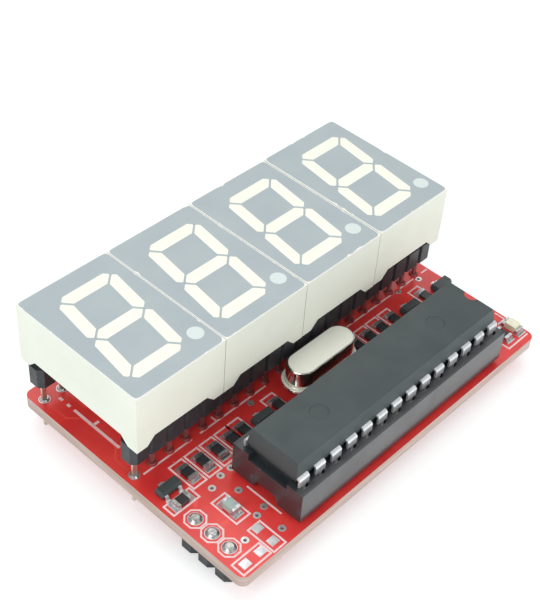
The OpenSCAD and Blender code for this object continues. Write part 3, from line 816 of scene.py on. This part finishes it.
@dataclass(frozen=True)
class Places:
    """Where things stand on the board, in millimetres from its left edge and the digits' front face."""

    left: float = -25.9
    digits_front: float = -1.8
    resistor_x: tuple[float, ...] = (5.5, 7.8, 10.1, 12.4, 14.3, 19.9, 34.0, 36.3, 38.6, 40.9, 47.1)
    resistor_y: float = -2.0
    header: Point = (1.88, -6.91)
    header_pins: int = 3
    pitch: float = 2.54

    def at(self, x: float, y: float) -> Point:
        """A place in the frame, in millimetres."""
        return self.left + x, self.digits_front + y

    def pins(self) -> list[Point]:
        """The header pins, from the rear to the front."""
        return [self.at(self.header[0], self.header[1] - k * self.pitch) for k in range(self.header_pins)]

    def route(self, turns: Route, start: Point = (0.0, 0.0)) -> Route:
        """A bent line in the frame.

        Args:
            turns: its corners.
            start: where they are counted from.
        Returns:
            The corners in the frame, in millimetres.
        """
        return tuple(self.at(start[0] + x, start[1] + y) for x, y in turns)


@dataclass
class PrintedMarks:
    """The white outlines, lines and ticks on the board."""

    places: Places = field(default_factory=Places)
    thick_mm: float = 0.015
    thin_mm: float = 0.22
    bold_mm: float = 0.36
    resistor_box: Box = ((-0.95, -3.93), (0.95, 0.04))
    boxes: tuple[Box, ...] = (
        ((0.55, -5.07), (4.26, -3.46)), ((4.55, -10.4), (6.55, -6.6)),
        ((4.8, -15.6), (6.6, -11.8)), ((0.5, -15.45), (4.5, -13.7)))
    pin_frame_mm: float = 1.36
    pin_frame_sides: int = 8
    thin: tuple[Route, ...] = (
        ((2.0, 1.3), (9.2, 1.3)), ((10.5, 1.3), (21.1, 1.3)), ((35.6, 1.3), (44.2, 1.3)),
        ((46.0, 1.3), (48.8, 1.3)), ((50.4, 1.3), (51.6, 1.3)),
        ((13.1, 1.4), (13.1, 2.25)), ((39.2, 1.4), (39.2, 2.25)), ((8.95, -7.6), (8.95, -12.75)),
        ((47.5, -13.9), (47.5, -14.95), (51.4, -14.95)), ((51.4, -9.9), (51.4, -11.6)))
    bold: tuple[Route, ...] = (
        ((2.6, 5.9), (2.6, 13.6)), ((2.7, 10.4), (3.5, 10.4)),
        ((2.6, 14.3), (2.6, 14.8)), ((2.6, 15.6), (2.6, 16.2)))

    def build(self, level: float) -> None:
        """Prints the marks.

        Args:
            level: the height of the board's top, in metres.
        """
        ink = Ribbon(level, self.thick_mm)
        rows = [self.places.route(self.resistor_box, (x, 0.0)) for x in self.places.resistor_x]
        for low, high in rows + [self.places.route(box) for box in self.boxes]:
            ink.frame_round(low, high, self.thin_mm)
        for pin in self.places.pins():
            ink.ring(pin, self.pin_frame_mm, self.thin_mm, self.pin_frame_sides)
        for width_mm, lines in ((self.thin_mm, self.thin), (self.bold_mm, self.bold)):
            for turns in lines:
                ink.line(self.places.route(turns), width_mm)
        ink.finish("printed_marks", FINISH.ink, Surface.BOARD)


@dataclass(frozen=True)
class TrackRow:
    """Tracks side by side, which step half a pitch aside on their way and then back."""

    count: int
    first: float
    stops: tuple[float, float, float, float, float, float]
    width_mm: float
    stagger: float = 0.0
    cycle: int = 1

    def lines(self, pitch: float) -> Iterator[Route]:
        """The corners of each track.

        Args:
            pitch: the distance between two tracks.
        Returns:
            One track's corners after the other's, each from the front end to the rear end.
        """
        start, leave, aside, straight, back, end = self.stops
        for k in range(self.count):
            x = self.first + pitch * k
            late = self.stagger * (k % self.cycle)
            yield ((x, start), (x, leave + late), (x + pitch / 2, aside + late), (x + pitch / 2, straight),
                   (x, back), (x, end))


@dataclass
class CoveredCopper:
    """The copper tracks that show through the solder mask."""

    places: Places = field(default_factory=Places)
    thick_mm: float = 0.008
    header_width_mm: float = 0.5
    header_turns: tuple[Route, ...] = (
        ((0.0, 0.0), (1.6, 1.6), (1.6, 4.4)), ((0.0, 0.0), (2.6, 0.0), (4.2, 1.6)),
        ((0.0, 0.0), (0.0, -0.9), (0.9, -1.8)))
    resistor_width_mm: float = 0.25
    resistor_reach: float = 1.0
    resistor_front: Route = ((0.0, -0.7), (0.5, -1.2))
    resistor_rear: Route = ((0.0, 1.5),)
    resistor_stagger: float = 0.1
    resistor_cycle: int = 3
    under_digits: TrackRow = TrackRow(19, 1.17, (2.9, 5.0, 6.3, 12.0, 13.3, 16.2), 0.3, 0.5, 5)
    under_chip: TrackRow = TrackRow(13, 10.43, (-13.1, -11.6, -10.3, -9.0, -7.8, -7.2), 0.25)

    def build(self, level: float) -> None:
        """Lays the tracks.

        Args:
            level: the height of the board's top, in metres.
        """
        copper = Ribbon(level, self.thick_mm)
        for (x, y), turns in zip(self.places.pins(), self.header_turns):
            copper.line(tuple((x + right, y + back) for right, back in turns), self.header_width_mm)
        for k, x in enumerate(self.places.resistor_x):
            front = (x, self.places.resistor_y - self.resistor_reach)
            rear = (x, self.places.resistor_y + self.resistor_reach)
            late = self.resistor_stagger * (k % self.resistor_cycle)
            staggered = tuple((right, back - late) for right, back in self.resistor_front)
            for start, turns in ((front, staggered), (rear, self.resistor_rear)):
                copper.line(self.places.route(((0.0, 0.0), *turns), start), self.resistor_width_mm)
        for row in (self.under_digits, self.under_chip):
            for turns in row.lines(self.places.pitch):
                copper.line(self.places.route(turns), row.width_mm)
        copper.finish("covered_copper", FINISH.trace, Surface.BOARD)


@dataclass
class CircuitBoard:
    """The board with its tinned pads, solder joints, printed marks and covered copper."""

    marks: PrintedMarks = field(default_factory=PrintedMarks)
    copper: CoveredCopper = field(default_factory=CoveredCopper)

    def build(self) -> None:
        """Dresses the board and lays its print and copper."""
        SHOP.dress("circuit_board", FINISH.mask)
        SHOP.dress("tinned_pads", FINISH.tin)
        SHOP.dress("solder_joints", FINISH.joint)
        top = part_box("circuit_board")[1][2]
        self.marks.build(top)
        self.copper.build(top)


@dataclass
class Digits:
    """The four plug-in digits."""

    count: int = 4
    edge_mm: float = 0.04
    point_mm: Point = (10.98, 2.92)

    def build(self) -> None:
        """Dresses each digit's shell, film, resin, boards, dies and pins."""
        for n in range(1, self.count + 1):
            SHOP.soften(f"display_housing_{n}", self.edge_mm, FINISH.shell, Surface.SHELL)
            low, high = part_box(f"display_face_{n}")
            SHOP.dress(f"display_face_{n}", replace(
                FINISH.film, name=f"grey_print_{n}", low=(low[0], low[1]), high=(high[0], high[1])))
            point = (low[0] + self.point_mm[0] * MM, low[1] + self.point_mm[1] * MM)
            SHOP.dress(f"display_resin_{n}", replace(FINISH.resin, name=f"milky_resin_{n}", point=point))
            SHOP.dress(f"display_die_board_{n}", FINISH.laminate)
            SHOP.dress(f"display_dies_{n}", FINISH.die)
            SHOP.dress(f"display_pins_{n}", FINISH.pin)


@dataclass
class Sockets:
    """The raised socket strips, the chip socket and the pin header."""

    edge_mm: float = 0.05

    def build(self) -> None:
        """Dresses the mouldings and their contacts."""
        for node in ("front_strip_body", "rear_strip_body"):
            SHOP.soften(node, self.edge_mm, FINISH.black, Surface.BLACK)
        for node in ("front_strip_contacts", "rear_strip_contacts"):
            SHOP.dress(node, FINISH.tail)
        SHOP.dress("chip_socket_contacts", FINISH.contact)
        SHOP.soften("chip_socket_body", self.edge_mm, FINISH.socket, Surface.SOCKET)
        SHOP.soften("pin_header_body", self.edge_mm, FINISH.black, Surface.BLACK)
        SHOP.dress("pin_header_pins", FINISH.joint)


@dataclass
class DriverChip:
    """The driver chip and the crystal that clocks it."""

    chip_edge_mm: float = 0.09
    can_edge_mm: float = 0.06

    def build(self) -> None:
        """Dresses the chip and the crystal."""
        SHOP.soften("chip_body", self.chip_edge_mm, FINISH.epoxy, Surface.CHIP)
        SHOP.dress("chip_leads", FINISH.lead)
        SHOP.soften("crystal_can", self.can_edge_mm, FINISH.can, Surface.CAN)
        SHOP.dress("crystal_base", FINISH.flange)
        SHOP.dress("crystal_leads", FINISH.pin)


@dataclass
class SmallParts:
    """The surface parts and the solder that runs up their ends.

    The places are counted like those of Places, but the ones that end in _at are in the frame.
    """

    places: Places = field(default_factory=Places)
    chip_mm: Point = (2.0, 1.25)
    left_resistor: Point = (2.4, -4.27)
    capacitor: Point = (5.5, -8.5)
    light_mm: Point = (2.4, 1.4)
    light_at: Point = (24.85, -14.79)
    light_resistor_at: Point = (22.85, -14.79)
    fillet_mm: float = 0.32
    rise_mm: float = 0.38
    hollow: tuple[Point, ...] = ((0.0, 0.0), (1.0, 0.0), (0.35, 0.3), (0.1, 0.65), (0.0, 1.0))
    smooth_deg: float = 60.0

    def build(self) -> None:
        """Dresses the parts and adds their solder."""
        for node, recipe in (("resistor_bodies", FINISH.glaze), ("resistor_ends", FINISH.ends),
                             ("capacitor_body", FINISH.ceramic), ("capacitor_ends", FINISH.ends),
                             ("transistor_bodies", FINISH.epoxy), ("transistor_leads", FINISH.lead),
                             ("status_light_body", FINISH.lens), ("status_light_ends", FINISH.ends)):
            SHOP.dress(node, recipe)
        self.run_solder()

    def run_solder(self) -> None:
        """Adds a wedge of solder at each end of each chip part."""
        at = self.places.at
        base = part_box("tinned_pads")[1][2]
        shape = bmesh.new()
        upright = [at(x, self.places.resistor_y) for x in self.places.resistor_x]
        spots = [(spot, 90.0, self.chip_mm) for spot in upright]
        spots += [(at(*self.left_resistor), 0.0, self.chip_mm), (at(*self.capacitor), 90.0, self.chip_mm),
                  (self.light_resistor_at, 90.0, self.chip_mm), (self.light_at, 90.0, self.light_mm)]
        for (x, y), turn, size in spots:
            place = Matrix.Translation((x * MM, y * MM, base)) @ Matrix.Rotation(math.radians(turn), 4, "Z")
            for side in (-1.0, 1.0):
                self.wedge(shape, place, size, side)
        SHOP.place("part_solder", shape, FINISH.solder, Surface.SOLDER, self.smooth_deg)

    def wedge(self, shape: bmesh.types.BMesh, place: Matrix, size: Point, side: float) -> None:
        """One wedge of solder with a hollow face.

        Args:
            shape: the mesh it is added to.
            place: where the part's middle is.
            size: the part's length and width in millimetres.
            side: -1 or 1 for the part's two ends.
        """
        half = size[1] / 2 * MM
        verts = []
        for out, up in self.hollow:
            reach = size[0] / 2 + self.fillet_mm * out
            corner = Vector((side * reach * MM, -half, self.rise_mm * up * MM))
            verts.append(shape.verts.new(place @ corner))
        face = shape.faces.new(verts)
        made = bmesh.ops.extrude_face_region(shape, geom=[face], use_keep_orig=True)["geom"]
        fresh = [item for item in made if isinstance(item, bmesh.types.BMVert)]
        along = place.to_3x3() @ Vector((0.0, 2 * half, 0.0))
        bmesh.ops.translate(shape, vec=along, verts=fresh)
        linked = {item for vert in fresh + verts for item in vert.link_faces}
        bmesh.ops.recalc_face_normals(shape, faces=list(linked))


@dataclass(frozen=True)
class Lamp:
    """A square lamp, in metres and watts, that points at the foot of the module."""

    name: str
    place: Place
    power: float
    size: float

    def hang(self) -> None:
        """Adds the lamp to the scene."""
        data = bpy.data.lights.new(self.name, "AREA")
        data.energy = self.power
        data.size = self.size
        lamp = bpy.data.objects.new(self.name, data)
        lamp.location = self.place
        lamp.rotation_euler = (-Vector(self.place)).to_track_quat("-Z", "Y").to_euler()
        bpy.context.scene.collection.objects.link(lamp)


@dataclass
class Studio:
    """The pale floor, the soft lights and the camera."""

    camera_at: Place = (-0.08153, -0.06592, 0.11151)
    ahead: Place = (0.5665, 0.4605, -0.6834)
    right: Place = (0.6794, -0.7303, 0.0712)
    lens_mm: float = 75.33
    sensor_mm: float = 36.0
    shift: Point = (-0.0391, 0.0124)
    nearest: float = 0.005
    floor_half: float = 2.0
    floor_drop: float = 0.00002
    floor_colour: Colour = (0.80, 0.86, 0.86)
    floor_rough: float = 0.9
    floor_specular: float = 0.1
    floor_fade: Point = (0.12, 0.7)
    floor_glow: Point = (0.345, 0.62)
    room_light: float = 0.54
    room_seen: float = 1.0
    lamps: tuple[Lamp, ...] = (
        Lamp("key_lamp", (0.10, 0.14, 0.34), power=0.42, size=0.34),
        Lamp("left_lamp", (-0.30, -0.05, 0.24), power=0.53, size=0.25),
        Lamp("front_lamp", (0.0, -0.42, 0.13), power=0.74, size=0.3))

    def build(self) -> None:
        """Sets up the camera, the floor, the room, the lamps and the view."""
        self.add_camera()
        self.add_floor()
        self.add_room()
        for lamp in self.lamps:
            lamp.hang()
        bpy.context.scene.view_settings.view_transform = "Standard"

    def add_camera(self) -> None:
        """Puts the camera where the photograph was taken from."""
        data = bpy.data.cameras.new("camera")
        data.lens = self.lens_mm
        data.sensor_width = self.sensor_mm
        data.sensor_fit = "AUTO"
        data.shift_x, data.shift_y = self.shift
        data.clip_start = self.nearest
        camera = bpy.data.objects.new("camera", data)
        ahead = Vector(self.ahead).normalized()
        right = Vector(self.right)
        right = (right - ahead * right.dot(ahead)).normalized()
        up = right.cross(ahead)
        turn = Matrix((right, up, -ahead)).transposed().to_4x4()
        camera.matrix_world = Matrix.Translation(self.camera_at) @ turn
        bpy.context.scene.collection.objects.link(camera)
        bpy.context.scene.camera = camera

    def add_floor(self) -> None:
        """Lays the floor just under the module."""
        shape = bmesh.new()
        bmesh.ops.create_grid(shape, x_segments=1, y_segments=1, size=self.floor_half)
        mesh = bpy.data.meshes.new("floor")
        shape.to_mesh(mesh)
        shape.free()
        floor = bpy.data.objects.new("floor", mesh)
        floor.location.z = -self.floor_drop
        bpy.context.scene.collection.objects.link(floor)
        mesh.materials.append(self.floor_finish())

    def floor_finish(self) -> bpy.types.Material:
        """A pale matt surface that looks white where no shadow falls.

        Returns:
            The material. Its glow shows to the camera, in mirrors and through clear pieces, lights
            nothing else, and grows farther out.
        """
        graph = Graph("pale_floor")
        seen = graph.node("ShaderNodeLightPath")
        shown = graph.maths("MAXIMUM", seen.outputs["Is Camera Ray"], seen.outputs["Is Glossy Ray"])
        shown = graph.maths("MAXIMUM", shown, seen.outputs["Is Transmission Ray"])
        glow = graph.spread(graph.distance(), self.floor_fade, self.floor_glow)
        graph.set(Base_Color=self.floor_colour, Roughness=self.floor_rough,
                  Specular_IOR_Level=self.floor_specular, Emission_Color=(1.0, 1.0, 1.0),
                  Emission_Strength=graph.maths("MULTIPLY", shown, glow))
        return graph.material

    def add_room(self) -> None:
        """Lights the room evenly, and shows it white to the camera."""
        world = bpy.data.worlds.new("room")
        world.use_nodes = True
        bpy.context.scene.world = world
        tree = world.node_tree
        paint = tree.nodes["Background"]
        paint.inputs["Color"].default_value = (1.0, 1.0, 1.0, 1.0)
        seen = tree.nodes.new("ShaderNodeLightPath")
        strength = tree.nodes.new("ShaderNodeMapRange")
        strength.inputs["To Min"].default_value = self.room_light
        strength.inputs["To Max"].default_value = self.room_seen
        tree.links.new(seen.outputs["Is Camera Ray"], strength.inputs["Value"])
        tree.links.new(strength.outputs["Result"], paint.inputs["Strength"])


def main() -> None:
    """Builds every sub-assembly and the studio in order."""
    logging.basicConfig(level=logging.INFO, format="%(name)s: %(message)s")
    for part in (CircuitBoard(), Digits(), Sockets(), DriverChip(), SmallParts(), Studio()):
        LOG.info("building %s", type(part).__name__)
        part.build()


if __name__ == "__main__":
    main()
